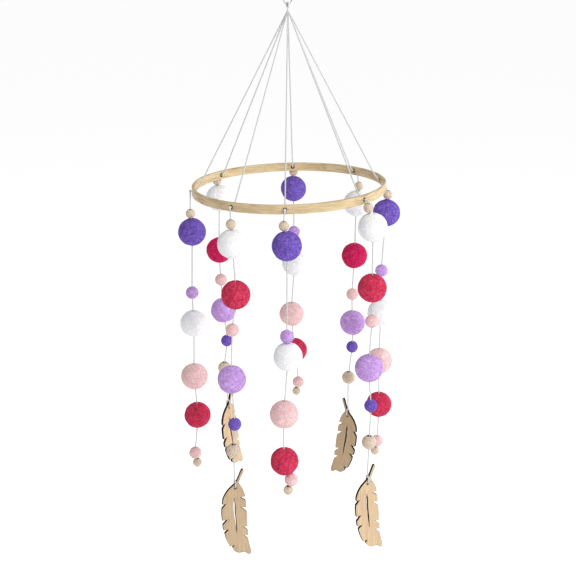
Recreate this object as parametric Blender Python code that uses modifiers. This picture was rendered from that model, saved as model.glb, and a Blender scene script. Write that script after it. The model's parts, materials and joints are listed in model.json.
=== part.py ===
"""A crib mobile: a wooden hoop hung from a small metal ring by eight cords, with a strand of felt
balls, wooden beads and, on every second strand, a wooden feather under each cord.

Metres, +Z up. The origin is the inside top of the hanging ring, where a hook bears. The front of
the mobile faces -Y. Angles go round from the front, by way of the right side (+X).
"""

from math import cos, pi, radians, sin, sqrt

import bmesh
import bpy
from mathutils import Matrix, Vector

MM = 0.001
GAP = 0.3 * MM  # left between pieces that touch

# Hanging ring and the loop of cords over it
RING_OUTER_D = 12 * MM
RING_WIRE_D = 1.4 * MM
RING_TURN = radians(35)  # of the ring's plane, about the vertical
LOOP_BUNDLE_D = 2 * MM
TOP_KNOT_D = 3 * MM

# Hoop
HOOP_D = 220 * MM
HOOP_WALL = 3.2 * MM
HOOP_HEIGHT = 10 * MM
HOOP_EDGE_R = 0.7 * MM
HOOP_TILT = radians(1.3)  # the right side hangs a little high, as its cords are tied by hand
HOOP_FALL = 188 * MM  # from the knot of the eight cords to the hoop's top edge
HOOP_STEPS = 64

# Cord and its holes
CORD_D = 1.5 * MM
HOLE_PLAY = 0.3 * MM  # all round a cord in a drilled hole
HOLE_KNOT_D = 3 * MM
SMALL_KNOT_D = 2.4 * MM

# Threaded pieces
LARGE_BALL_D = 31.6 * MM
SMALL_BALL_D = 14.8 * MM
BEAD_D = 10.8 * MM
LARGE_BEAD_D = 16.8 * MM

BEAD_TURN = radians(11.25)  # sets the facets of beads and knots off those of the cord

# Feather: a flat plate, hung from a cord loop through a hole under its quill
FEATHER_LENGTH = 114 * MM
FEATHER_WIDTH = 34.6 * MM
FEATHER_WALL = 3 * MM
FEATHER_HOLE_D = 3.2 * MM
FEATHER_LOOP_RISE = 7.2 * MM  # from the hole to the centre of the loop's top bend
LOOP_PLAY = 0.3 * MM  # left between the loop and the top of the hole that hangs on it

# Each threaded piece of the two kinds of strand, from the top: (what it is, its colour)
BALL_STRAND = (
    ("bead", None),
    ("large", "purple"),
    ("small", "lilac"),
    ("large", "white"),
    ("large", "pink"),
    ("large", "red"),
    ("small", "pink"),
    ("bead", None),
)
FEATHER_STRAND = (
    ("bead", None),
    ("large", "white"),
    ("large", "red"),
    ("small", "pink"),
    ("large", "lilac"),
    ("small", "purple"),
    ("large_bead", None),
)

# name: (angle in degrees, free cord above each piece in mm, how far each piece hangs towards +X of
# a plumb line in mm, None or (free cord above the feather's hole in mm, how far the hole hangs
# towards +X in mm, the feather's turn and its lean in degrees))
STRANDS = {
    "front": (
        -2.2, (10, 0.3, 78, 0.3, 37, 26.5, 0.3, 0.3), (-1, 2, 1.5, 2.5, -2, -2, 5.5, 2), None,
    ),
    "front_right": (
        47, (1, 0.3, 37, 15.5, 33, 23, 30.5), (0, 5, 6, 6.5, 4.5, 7.5, 6.5), (45, 5.5, 26, -3),
    ),
    "right": (
        100.5, (11, 0.3, 47.5, 30, 31.5, 27, 27.5, 0.5), (5, 4, 0, 0.5, 0, 1, 0, -2.5), None,
    ),
    "back_right": (
        133, (12.5, 0.3, 35, 27.5, 15, 10, 27), (3.5, 1, -0.5, -2.5, -1.5, -1.5, -5.5),
        (46, -5.5, 141, -5.5),
    ),
    "back": (
        177.3, (1, 0.3, 33, 19, 37.5, 19.5, 23, 0.3), (0.5, 0.5, 1, 1.5, -2.5, 2, 6, 3.5), None,
    ),
    "back_left": (
        229.5, (1, 0.3, 34.5, 15.5, 17.5, 18, 22), (1, 3, 1.5, 2.5, 4.5, 8, 4), (47.5, 7.5, 56, -6),
    ),
    "left": (
        276.5, (19, 0.3, 50, 15, 36, 19.5, 28, 0.3), (-0.5, 0.5, -2, -1.5, -3, -1, -5.5, -3.5), None,
    ),
    "front_left": (
        326.4, (11.5, 0.3, 25.5, 17.5, 35.5, 32, 17.5), (0.5, 1.5, 4, -0.5, -2.5, -0.5, -2.5),
        (39, -2, 20, 0),
    ),
}

# Routes, chosen by hand. A hoop cord: (distance from the axis as a share of the hoop's inner
# radius, height above its hole as a share of the knot's height above it), down to the bend.
HOOP_CORD_ROUTE = ((0, 1), (0.25, 0.7436), (0.5, 0.4872), (0.75, 0.2308), (0.93, 0.0462))
# The bend into the hole: (distance short of the hoop's inner face, height above the hole), in mm.
HOOP_CORD_BEND = ((3.3, 2.9), (2.3, 1.45), (1.2, 0.55), (0, 0.12), (-1.4, 0))
# The step from a hole's knot over to a strand that its bead holds off the hoop: (share across,
# share down to the bead).
SIDE_STEP = ((0.35, 0), (0.72, 0.12), (0.94, 0.5))

# The feather's outline round from the quill's tip, by its right side: (x, z) from its hole as
# shares of its width and length, and whether the outline runs smoothly through the point.
FEATHER_OUTLINE = (
    (0.283, 0.195, True), (0.301, 0.183, True), (0.231, 0.133, True), (0.173, 0.093, True),
    (0.113, 0.051, False), (0.199, 0.009, True), (0.289, -0.053, True), (0.344, -0.118, False),
    (0.150, -0.120, False), (0.355, -0.163, False), (0.367, -0.247, False), (0.171, -0.231, False),
    (0.382, -0.293, False), (0.396, -0.386, True), (0.393, -0.474, False), (0.231, -0.461, False),
    (0.413, -0.518, False), (0.416, -0.575, False), (0.257, -0.568, False), (0.416, -0.621, False),
    (0.462, -0.702, True), (0.509, -0.777, True), (0.488, -0.802, True), (0.428, -0.805, True),
    (0.347, -0.788, True), (0.269, -0.768, True), (0.191, -0.768, True), (0.092, -0.768, True),
    (-0.029, -0.749, True), (-0.121, -0.714, True), (-0.142, -0.692, False),
    (-0.075, -0.665, False), (-0.243, -0.671, False), (-0.321, -0.612, True),
    (-0.387, -0.542, True), (-0.408, -0.504, False), (-0.254, -0.468, False),
    (-0.448, -0.466, False), (-0.468, -0.404, False), (-0.289, -0.349, False),
    (-0.477, -0.351, False), (-0.491, -0.281, True), (-0.483, -0.214, False),
    (-0.327, -0.163, False), (-0.460, -0.165, False), (-0.439, -0.114, True),
    (-0.376, -0.070, True), (-0.277, -0.025, True), (-0.133, 0.016, True), (0.006, 0.047, False),
    (0.087, 0.093, True), (0.150, 0.135, True), (0.220, 0.181, True), (0.249, 0.193, True),
)
FEATHER_SLIT = (
    (-0.043, -0.123, False), (-0.020, -0.175, True), (-0.017, -0.281, True), (0.012, -0.404, True),
    (0.014, -0.526, False), (-0.029, -0.404, True), (-0.069, -0.281, True), (-0.075, -0.175, True),
)

COLOURS = {
    "purple": (0.150, 0.078, 0.440, 1),
    "lilac": (0.552, 0.323, 0.745, 1),
    "white": (0.871, 0.871, 0.888, 1),
    "pink": (0.791, 0.527, 0.552, 1),
    "red": (0.578, 0.021, 0.076, 1),
}

# Worked out from the sizes above
RING_R = (RING_OUTER_D - RING_WIRE_D) / 2
RING_CENTRE_Z = -(RING_R - RING_WIRE_D / 2)
WIRE_BOTTOM_Z = RING_CENTRE_Z - RING_R
LOOP_R = (RING_WIRE_D + LOOP_BUNDLE_D) / 2 + GAP
LOOP_KNOT_Z = WIRE_BOTTOM_Z - RING_WIRE_D / 2 - GAP - TOP_KNOT_D / 2 - 0.1 * MM
HOOP_KNOT_Z = LOOP_KNOT_Z - TOP_KNOT_D - GAP
HOOP_Z = HOOP_KNOT_Z - HOOP_FALL
HOOP_R = HOOP_D / 2
HOOP_INNER_R = HOOP_R - HOOP_WALL
HOLE_D = CORD_D + 2 * HOLE_PLAY
BORE_D = CORD_D + 2 * GAP
PIVOT_R = HOOP_R + GAP + HOLE_KNOT_D / 2
FEATHER_LOOP_R = FEATHER_WALL / 2 + GAP + CORD_D / 2
SIZES = {
    "bead": BEAD_D, "large_bead": LARGE_BEAD_D, "large": LARGE_BALL_D, "small": SMALL_BALL_D,
}


def clear_scene():
    for obj in list(bpy.data.objects):
        bpy.data.objects.remove(obj, do_unlink=True)


def new_collection(name, hidden=False):
    collection = bpy.data.collections.new(name)
    collection.hide_render = hidden
    bpy.context.scene.collection.children.link(collection)
    return collection


def new_material(name, colour, roughness, metallic=0.0):
    material = bpy.data.materials.new(name)
    material.use_nodes = True
    shader = material.node_tree.nodes["Principled BSDF"]
    shader.inputs["Base Color"].default_value = colour
    shader.inputs["Roughness"].default_value = roughness
    shader.inputs["Metallic"].default_value = metallic
    return material


def add_object(name, data, collection, material=None):
    obj = bpy.data.objects.new(name, data)
    collection.objects.link(obj)
    if material:
        data.materials.append(material)
    return obj


def as_helper(obj):
    """Keeps an object that only cuts or joins out of the render."""
    obj.hide_render = True
    obj.display_type = "WIRE"
    return obj


def mesh_from(name, shape):
    mesh = bpy.data.meshes.new(name)
    shape.to_mesh(mesh)
    shape.free()
    mesh.shade_smooth()
    return mesh


def ball_mesh(name, diameter, segments, rings):
    shape = bmesh.new()
    bmesh.ops.create_uvsphere(shape, u_segments=segments, v_segments=rings, radius=diameter / 2)
    return mesh_from(name, shape)


def rod_mesh(name, diameter, length, segments):
    shape = bmesh.new()
    bmesh.ops.create_cone(
        shape, cap_ends=True, segments=segments, radius1=diameter / 2, radius2=diameter / 2, depth=length
    )
    return mesh_from(name, shape)


def tube(name, points, diameter, collection, cyclic=False):
    """A round tube along the points, as a mesh with its caps welded on."""
    curve = bpy.data.curves.new(name, "CURVE")
    curve.dimensions = "3D"
    curve.bevel_depth = diameter / 2
    curve.bevel_resolution = 2
    curve.use_fill_caps = not cyclic
    spline = curve.splines.new("POLY")
    spline.points.add(len(points) - 1)
    for point, place in zip(spline.points, points):
        point.co = (*place, 1)
    spline.use_cyclic_u = cyclic
    source = bpy.data.objects.new(name, curve)
    collection.objects.link(source)
    graph = bpy.context.evaluated_depsgraph_get()
    mesh = bpy.data.meshes.new_from_object(source.evaluated_get(graph))
    obj = bpy.data.objects.new(name, mesh)
    obj.matrix_world = source.matrix_world
    bpy.data.objects.remove(source)
    bpy.data.curves.remove(curve)
    obj.name = name
    shape = bmesh.new()
    shape.from_mesh(mesh)
    bmesh.ops.remove_doubles(shape, verts=shape.verts, dist=0.01 * MM)
    bmesh.ops.recalc_face_normals(shape, faces=shape.faces)
    shape.to_mesh(mesh)
    shape.free()
    mesh.shade_smooth()
    collection.objects.link(obj)
    return obj


def combine(obj, other, operation):
    modifier = obj.modifiers.new(f"{operation.lower()} {other.name}", "BOOLEAN")
    modifier.operation = operation
    modifier.object = other
    modifier.solver = "EXACT"


def add_pivot(name, place, collection, parent=None):
    """An empty on a joint's axis. What hangs on it keeps its place in the world."""
    pivot = bpy.data.objects.new(name, None)
    pivot.empty_display_size = 10 * MM
    pivot.location = place
    collection.objects.link(pivot)
    if parent:
        hang_on(pivot, parent)
    return pivot


def hang_on(obj, pivot):
    obj.parent = pivot
    obj.matrix_parent_inverse = Matrix.Translation(-pivot.location)


def direction(angle):
    return Vector((sin(angle), -cos(angle), 0))


def hoop_matrix():
    return Matrix.Translation((0, 0, HOOP_Z)) @ Matrix.Rotation(-HOOP_TILT, 4, "Y")


def hole_place(angle, radius):
    """A point on the axis of the hole at this angle, halfway down the hoop."""
    return hoop_matrix() @ (direction(angle) * radius + Vector((0, 0, -HOOP_HEIGHT / 2)))


def make_ring(parts, metal):
    bpy.ops.mesh.primitive_torus_add(
        major_segments=28, minor_segments=8, major_radius=RING_R, minor_radius=RING_WIRE_D / 2,
        location=(0, 0, RING_CENTRE_Z), rotation=(pi / 2, 0, RING_TURN),
    )
    ring = bpy.context.object
    ring.name = "hanging_ring"
    ring.data.materials.append(metal)
    ring.data.shade_smooth()
    for collection in list(ring.users_collection):
        collection.objects.unlink(ring)
    parts.objects.link(ring)


def make_top_loop(parts, helpers, pivot, material):
    """The cords' loop over the ring's wire, in the plane across it, and the knot under it."""
    across = Vector((-sin(RING_TURN), cos(RING_TURN), 0))
    low = WIRE_BOTTOM_Z - LOOP_KNOT_Z
    steps = 10
    points = []
    for step in range(steps + 1):
        turn = pi * step / steps
        points.append(across * LOOP_R * cos(turn) + Vector((0, 0, WIRE_BOTTOM_Z + LOOP_R * sin(turn))))
    for share in (0.5, 1):
        points.append(across * -LOOP_R * (1 - 0.6 * share**2) + Vector((0, 0, WIRE_BOTTOM_Z - low * share)))
    for share in (1, 0.5):
        points.append(across * LOOP_R * (1 - 0.6 * share**2) + Vector((0, 0, WIRE_BOTTOM_Z - low * share)))
    loop = tube("top_loop", points, LOOP_BUNDLE_D, parts, cyclic=True)
    loop.data.materials.append(material)
    knot = as_helper(add_object("top_loop_knot", ball_mesh("top_loop_knot", TOP_KNOT_D, 14, 10), helpers))
    knot.location = (0, 0, LOOP_KNOT_Z)
    combine(loop, knot, "UNION")
    hang_on(knot, pivot)
    hang_on(loop, pivot)


def hoop_cord_points(angle):
    """From the knot, straight out to the inside of the hoop, and round into its hole."""
    hole = hole_place(angle, HOOP_INNER_R)
    rise = HOOP_KNOT_Z - hole.z
    route = [
        direction(angle) * HOOP_INNER_R * across + Vector((0, 0, hole.z + rise * up))
        for across, up in HOOP_CORD_ROUTE
    ]
    route += [
        direction(angle) * (HOOP_INNER_R - short * MM) + Vector((0, 0, hole.z + up * MM))
        for short, up in HOOP_CORD_BEND
    ]
    route.append(direction(angle) * (HOOP_R - GAP) + Vector((0, 0, hole.z)))
    return route


def make_hoop_cords(parts, helpers, pivot, material):
    """The eight cords that the hoop hangs on, and the knot that they leave."""
    cords = add_object("hoop_cords", ball_mesh("hoop_cords", TOP_KNOT_D, 16, 10), parts, material)
    cords.location = (0, 0, HOOP_KNOT_Z)
    hang_on(cords, pivot)
    for name, (angle, *_) in STRANDS.items():
        cord = as_helper(tube(f"{name}_hoop_cord", hoop_cord_points(radians(angle)), CORD_D, helpers))
        hang_on(cord, pivot)
        combine(cords, cord, "UNION")


def hoop_profile():
    """The band's section as a closed outline, down its outer side first."""
    corners = (
        (HOOP_R, 0, 0), (HOOP_R, -HOOP_HEIGHT, -90),
        (HOOP_INNER_R, -HOOP_HEIGHT, -180), (HOOP_INNER_R, 0, -270),
    )
    points = []
    for x, z, start in corners:
        centre_x = x - HOOP_EDGE_R if x == HOOP_R else x + HOOP_EDGE_R
        centre_z = z - HOOP_EDGE_R if z == 0 else z + HOOP_EDGE_R
        for part in (90, 0):
            turn = radians(start + part)
            points.append((centre_x + HOOP_EDGE_R * cos(turn), 0, centre_z + HOOP_EDGE_R * sin(turn)))
    return points


def make_hoop(parts, helpers, pivot, material):
    points = hoop_profile()
    mesh = bpy.data.meshes.new("hoop")
    mesh.from_pydata(points, [(i, (i + 1) % len(points)) for i in range(len(points))], [])
    hoop = add_object("hoop", mesh, parts, material)
    hoop.matrix_world = hoop_matrix()
    hang_on(hoop, pivot)
    screw = hoop.modifiers.new("turned", "SCREW")
    screw.axis = "Z"
    screw.angle = 2 * pi
    screw.steps = screw.render_steps = HOOP_STEPS
    screw.use_merge_vertices = True
    screw.merge_threshold = 0.01 * MM
    screw.use_smooth_shade = True
    for name, (angle, *_) in STRANDS.items():
        drill = as_helper(
            add_object(f"{name}_hole", rod_mesh(f"{name}_hole", HOLE_D, 4 * HOOP_WALL, 10), helpers)
        )
        drill.location = hole_place(radians(angle), HOOP_R - HOOP_WALL / 2)
        drill.rotation_euler = direction(radians(angle)).to_track_quat("Z", "Y").to_euler()
        hang_on(drill, pivot)
        combine(hoop, drill, "DIFFERENCE")


def hangs_beside_hoop(hole, gaps):
    """Whether a strand's first bead hangs so high that the hoop holds it off."""
    bead_top = hole.z - HOLE_KNOT_D / 2 - gaps[0] * MM
    return bead_top > hole.z - HOOP_HEIGHT / 2 - GAP


def strand_axis(angle, gaps):
    """The top of the strand's plumb line."""
    hole = hole_place(angle, HOOP_R)
    radius = HOOP_R + BEAD_D / 2 + GAP if hangs_beside_hoop(hole, gaps) else PIVOT_R
    return direction(angle) * radius + Vector((0, 0, hole.z))


def threaded_places(axis, kinds, gaps, drifts):
    """The centre of each threaded piece, from the knot down, and the last one's bottom."""
    z = axis.z - HOLE_KNOT_D / 2
    places = []
    for (kind, _), gap, drift in zip(kinds, gaps, drifts):
        size = SIZES[kind]
        z -= gap * MM + size / 2
        places.append(Vector((axis.x + drift * MM, axis.y, z)))
        z -= size / 2
    return places, z


def strand_points(knot, places, beside_hoop, low_end):
    """The strand's cord, from its knot through every threaded piece to its low end."""
    route = [knot]
    if beside_hoop:
        bead_top = places[0] + Vector((0, 0, 0.2 * BEAD_D))
        step = bead_top - knot
        route += [knot + Vector((step.x * a, step.y * a, step.z * d)) for a, d in SIDE_STEP]
        route.append(bead_top)
    return [*route, *places, low_end]


def add_bead(name, diameter, place, helpers, pivot, strand):
    segments, rings = (8, 6) if diameter <= HOLE_KNOT_D else (10, 7)
    bead = as_helper(add_object(name, ball_mesh(name, diameter, segments, rings), helpers))
    bead.location = place
    bead.rotation_euler.z = BEAD_TURN
    hang_on(bead, pivot)
    combine(strand, bead, "UNION")


def feather_loop_points(hole, turn):
    """A closed loop through the feather's hole and over its top edge, across its plate."""
    normal = Vector((sin(turn), -cos(turn), 0))
    inside = sqrt(FEATHER_LOOP_R**2 - (FEATHER_WALL / 2) ** 2)
    low = hole.z + inside + (FEATHER_HOLE_D - CORD_D) / 2 - LOOP_PLAY
    high = hole.z + FEATHER_LOOP_RISE
    steps = 6
    points = []
    for centre, start in ((high, 0), (low, pi)):
        for step in range(steps + 1):
            angle = start + pi * step / steps
            side = normal * FEATHER_LOOP_R * cos(angle)
            points.append(Vector((hole.x, hole.y, centre + FEATHER_LOOP_R * sin(angle))) + side)
    return points


def make_feather(name, hole, turn, lean, parts, pivot, wood):
    curve = bpy.data.curves.new(name, "CURVE")
    curve.dimensions = "2D"
    curve.fill_mode = "BOTH"
    curve.extrude = FEATHER_WALL / 2
    curve.resolution_u = 2
    curve.materials.append(wood)
    for outline in (FEATHER_OUTLINE, FEATHER_SLIT):
        spline = curve.splines.new("BEZIER")
        spline.bezier_points.add(len(outline) - 1)
        spline.use_cyclic_u = True
        for point, (x, z, smooth) in zip(spline.bezier_points, outline):
            point.co = (x * FEATHER_WIDTH, z * FEATHER_LENGTH, 0)
            point.handle_left_type = point.handle_right_type = "AUTO" if smooth else "VECTOR"
    ring = curve.splines.new("POLY")
    sides = 12
    ring.points.add(sides - 1)
    ring.use_cyclic_u = True
    for side, point in enumerate(ring.points):
        angle = 2 * pi * side / sides
        point.co = (FEATHER_HOLE_D / 2 * cos(angle), FEATHER_HOLE_D / 2 * sin(angle), 0, 1)
    feather = bpy.data.objects.new(name, curve)
    parts.objects.link(feather)
    feather.location = hole
    feather.rotation_euler = (pi / 2, lean, turn)
    hang_on(feather, pivot)


def make_ball(name, kind, place, bore, parts, pivot, felt):
    """A felt ball, threaded on the cord."""
    segments, rings = (10, 7) if kind == "large" else (8, 5)
    ball = add_object(name, ball_mesh(name, SIZES[kind], segments, rings), parts, felt)
    ball.location = place
    hang_on(ball, pivot)
    combine(ball, bore, "DIFFERENCE")


def make_strand(name, parts, helpers, hoop_pivot, materials):
    degrees, gaps, drifts, feather = STRANDS[name]
    angle = radians(degrees)
    kinds = FEATHER_STRAND if feather else BALL_STRAND
    knot = hole_place(angle, PIVOT_R)
    pivot = add_pivot(f"{name}_strand_pivot", knot, parts, hoop_pivot)
    axis = strand_axis(angle, gaps)
    places, end_z = threaded_places(axis, kinds, gaps, drifts)
    low_end = Vector((places[-1].x, axis.y, end_z - SMALL_KNOT_D / 4))
    if feather:
        fall, drift, turn, lean = feather
        hole = Vector((axis.x + drift * MM, axis.y, end_z - fall * MM))
        low_end = hole + Vector((0, 0, FEATHER_LOOP_RISE + FEATHER_LOOP_R))
    points = strand_points(knot, places, hangs_beside_hoop(hole_place(angle, HOOP_R), gaps), low_end)
    cord = tube(f"{name}_cord", points, CORD_D, parts)
    cord.data.materials.append(materials["cord"])
    hang_on(cord, pivot)
    add_bead(f"{name}_hole_knot", HOLE_KNOT_D, knot, helpers, pivot, cord)
    add_bead(f"{name}_end_knot", SMALL_KNOT_D, low_end, helpers, pivot, cord)

    bore = as_helper(tube(f"{name}_bore", points, BORE_D, helpers))
    hang_on(bore, pivot)
    for order, ((kind, colour), place) in enumerate(zip(kinds, places)):
        if colour is None:
            add_bead(f"{name}_{kind}_{order}", SIZES[kind], place, helpers, pivot, cord)
            continue
        make_ball(f"{name}_{colour}_{kind}_ball", kind, place, bore, parts, pivot, materials[colour])

    if feather:
        loop_points = feather_loop_points(hole, radians(turn))
        loop = as_helper(tube(f"{name}_feather_loop", loop_points, CORD_D, helpers, cyclic=True))
        hang_on(loop, pivot)
        combine(cord, loop, "UNION")
        swing = add_pivot(f"{name}_feather_pivot", hole, parts, pivot)
        wood = materials["plywood"]
        make_feather(f"{name}_feather", hole, radians(turn), radians(lean), parts, swing, wood)


def main():
    clear_scene()
    parts = new_collection("crib_mobile")
    helpers = new_collection("cutters", hidden=True)
    materials = {name: new_material(f"{name} felt", colour, 0.95) for name, colour in COLOURS.items()}
    materials["cord"] = new_material("white cotton cord", (0.88, 0.87, 0.86, 1), 0.9)
    materials["plywood"] = new_material("laser-cut plywood", (0.604, 0.452, 0.306, 1), 0.7)
    metal = new_material("grey metal", (0.55, 0.56, 0.58, 1), 0.3, 1.0)
    bamboo = new_material("bamboo", (0.604, 0.434, 0.238, 1), 0.55)

    swing = add_pivot("ring_swing_pivot", (0, 0, WIRE_BOTTOM_Z), parts)
    turn = add_pivot("mobile_turn_pivot", (0, 0, HOOP_KNOT_Z), parts, swing)
    make_ring(parts, metal)
    make_top_loop(parts, helpers, swing, materials["cord"])
    make_hoop_cords(parts, helpers, turn, materials["cord"])
    make_hoop(parts, helpers, turn, bamboo)
    for name in STRANDS:
        make_strand(name, parts, helpers, turn, materials)


main()
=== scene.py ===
"""Makes a felt-ball crib mobile: a wooden hoop hung from a metal ring by eight cords, with a strand of
felt balls and wooden beads under each cord and a wooden feather on every second strand.

Metres, +Z up. The origin is the inside top of the hanging ring. The front faces -Y, and angles go
round from the front by way of the right side (+X).
"""

import json
from math import cos, pi, radians, sin, sqrt

import bpy
from bpy.props import FloatProperty, FloatVectorProperty, IntProperty, PointerProperty
from bpy.types import Operator, Panel, PropertyGroup
from mathutils import Matrix, Vector

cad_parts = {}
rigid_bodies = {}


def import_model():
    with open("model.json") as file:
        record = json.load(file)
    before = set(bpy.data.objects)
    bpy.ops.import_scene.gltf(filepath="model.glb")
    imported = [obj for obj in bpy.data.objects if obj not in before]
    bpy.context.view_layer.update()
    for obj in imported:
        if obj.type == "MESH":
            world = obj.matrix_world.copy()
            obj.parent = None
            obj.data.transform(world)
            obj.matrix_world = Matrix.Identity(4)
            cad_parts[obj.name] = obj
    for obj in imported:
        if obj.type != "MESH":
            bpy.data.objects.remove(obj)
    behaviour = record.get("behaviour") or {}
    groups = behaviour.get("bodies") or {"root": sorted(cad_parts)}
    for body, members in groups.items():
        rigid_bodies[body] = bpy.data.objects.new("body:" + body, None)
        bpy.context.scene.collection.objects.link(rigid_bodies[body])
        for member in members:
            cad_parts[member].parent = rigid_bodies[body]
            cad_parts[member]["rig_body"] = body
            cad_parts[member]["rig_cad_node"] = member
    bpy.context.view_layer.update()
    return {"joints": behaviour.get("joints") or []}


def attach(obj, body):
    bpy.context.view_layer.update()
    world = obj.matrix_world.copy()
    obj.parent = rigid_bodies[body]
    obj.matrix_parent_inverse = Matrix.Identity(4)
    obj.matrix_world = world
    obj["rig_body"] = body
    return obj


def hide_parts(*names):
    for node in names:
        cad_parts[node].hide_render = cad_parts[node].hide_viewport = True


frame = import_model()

bl_info = {
    "name": "Crib Mobile",
    "version": (1, 0, 0),
    "blender": (4, 5, 0),
    "location": "3D View > Sidebar > Crib Mobile",
    "description": "Strings a crib mobile of felt balls, wooden beads and feathers on its frame",
    "category": "Add Mesh",
}

MM = 0.001
GAP = 0.3 * MM
JOINT_PLACES = {joint["name"]: Vector(joint["pos_m"]) for joint in frame["joints"]}

# Hoop
HOOP_R = 110 * MM
HOOP_WALL = 3.2 * MM
HOOP_HEIGHT = 10 * MM
HOOP_EDGE_R = 0.7 * MM
HOOP_TILT = radians(1.3)
HOOP_FALL = 188 * MM
HOOP_INNER_R = HOOP_R - HOOP_WALL
HOLE_SHADE_DEPTH = 0.6 * MM  # how deep the near-black rim of a hole, painted shade, reaches into the wood
DRILL_FLARE = 8  # how many times wider the drill is at its ends, well outside the hoop
KNOT_PLACE = JOINT_PLACES["mobile_turn"]
HOOP_PLACE = KNOT_PLACE - Vector((0, 0, HOOP_FALL))
HOOP_MATRIX = Matrix.Translation(HOOP_PLACE) @ Matrix.Rotation(-HOOP_TILT, 4, "Y")

# Cord, and what is threaded on it
CORD_D = 1.5 * MM
HOLE_KNOT_D = 3 * MM
SMALL_KNOT_D = 2.4 * MM
SMALL_KNOT_CORD_D = 0.85 * MM
TIED_KNOT_D = 3.4 * MM
BEAD_D = 10.8 * MM
LARGE_BEAD_D = 16.8 * MM
LARGE_BALL_D = 31.6 * MM
SMALL_BALL_D = 14.8 * MM
SIZES = {"bead": BEAD_D, "large_bead": LARGE_BEAD_D, "large": LARGE_BALL_D, "small": SMALL_BALL_D}

# Hanging ring and the loop of cords over it
RING_R = 5.25 * MM
RING_CENTRE_Z = -4.6 * MM
RING_TURN = radians(35)
LOOP_R = 1.8 * MM
LOOP_KNOT_Z = -12.5 * MM
LOOP_BUNDLE_D = 2.2 * MM

# Feather
FEATHER_LENGTH = 114 * MM
FEATHER_WIDTH = 34.6 * MM
FEATHER_WALL = 3 * MM
FEATHER_HOLE_D = 3.2 * MM
FEATHER_LOOP_RISE = 7.2 * MM
LOOP_PLAY = 0.3 * MM
FEATHER_LOOP_R = FEATHER_WALL / 2 + GAP + CORD_D / 2

# The threaded pieces of the two kinds of strand, from the top: (what it is, its colour)
BALL_STRAND = (
    ("bead", None), ("large", "purple"), ("small", "lilac"), ("large", "white"),
    ("large", "pink"), ("large", "red"), ("small", "pink"), ("bead", None),
)
FEATHER_STRAND = (
    ("bead", None), ("large", "white"), ("large", "red"), ("small", "pink"),
    ("large", "lilac"), ("small", "purple"), ("large_bead", None),
)

# name: (angle in degrees, free cord above each piece in mm, how far each piece hangs towards +X of
# a plumb line in mm, None or (free cord above the feather's hole in mm, how far the hole hangs
# towards +X in mm, the feather's turn and its lean in degrees))
STRANDS = {
    "front": (
        -2.2, (10, 0.3, 78, 0.3, 37, 26.5, 0.3, 0.3), (-1, 2, 1.5, 2.5, -2, -2, 5.5, 2), None,
    ),
    "front_right": (
        47, (1, 0.3, 37, 15.5, 33, 23, 30.5), (0, 5, 6, 6.5, 4.5, 7.5, 6.5), (45, 5.5, 26, -3),
    ),
    "right": (
        100.5, (11, 0.3, 47.5, 30, 31.5, 27, 27.5, 0.5), (5, 4, 0, 0.5, 0, 1, 0, -2.5), None,
    ),
    "back_right": (
        133, (12.5, 0.3, 35, 27.5, 15, 10, 27), (3.5, 1, -0.5, -2.5, -1.5, -1.5, -5.5),
        (46, -5.5, 141, -5.5),
    ),
    "back": (
        177.3, (1, 0.3, 33, 19, 37.5, 19.5, 23, 0.3), (0.5, 0.5, 1, 1.5, -2.5, 2, 6, 3.5), None,
    ),
    "back_left": (
        229.5, (1, 0.3, 34.5, 15.5, 17.5, 18, 22), (1, 3, 1.5, 2.5, 4.5, 8, 4), (47.5, 7.5, 56, -6),
    ),
    "left": (
        276.5, (19, 0.3, 50, 15, 36, 19.5, 28, 0.3), (-0.5, 0.5, -2, -1.5, -3, -1, -5.5, -3.5), None,
    ),
    "front_left": (
        326.4, (11.5, 0.3, 25.5, 17.5, 35.5, 32, 17.5), (0.5, 1.5, 4, -0.5, -2.5, -0.5, -2.5),
        (39, -2, 20, 0),
    ),
}

# Routes of the cords, as in the frame. A hoop cord: (distance from the axis as a share of the hoop's
# inner radius, height above its hole as a share of the knot's), then its bend into the hole, in mm.
HOOP_CORD_ROUTE = ((0, 1), (0.25, 0.7436), (0.5, 0.4872), (0.75, 0.2308), (0.93, 0.0462))
HOOP_CORD_BEND = ((3.3, 2.9), (2.3, 1.45), (1.2, 0.55), (0, 0.12), (-1.4, 0))
# The step from a hole's knot over to a strand that its bead holds off the hoop: (share across,
# share down to the bead).
SIDE_STEP = ((0.35, 0), (0.72, 0.12), (0.94, 0.5))

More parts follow.
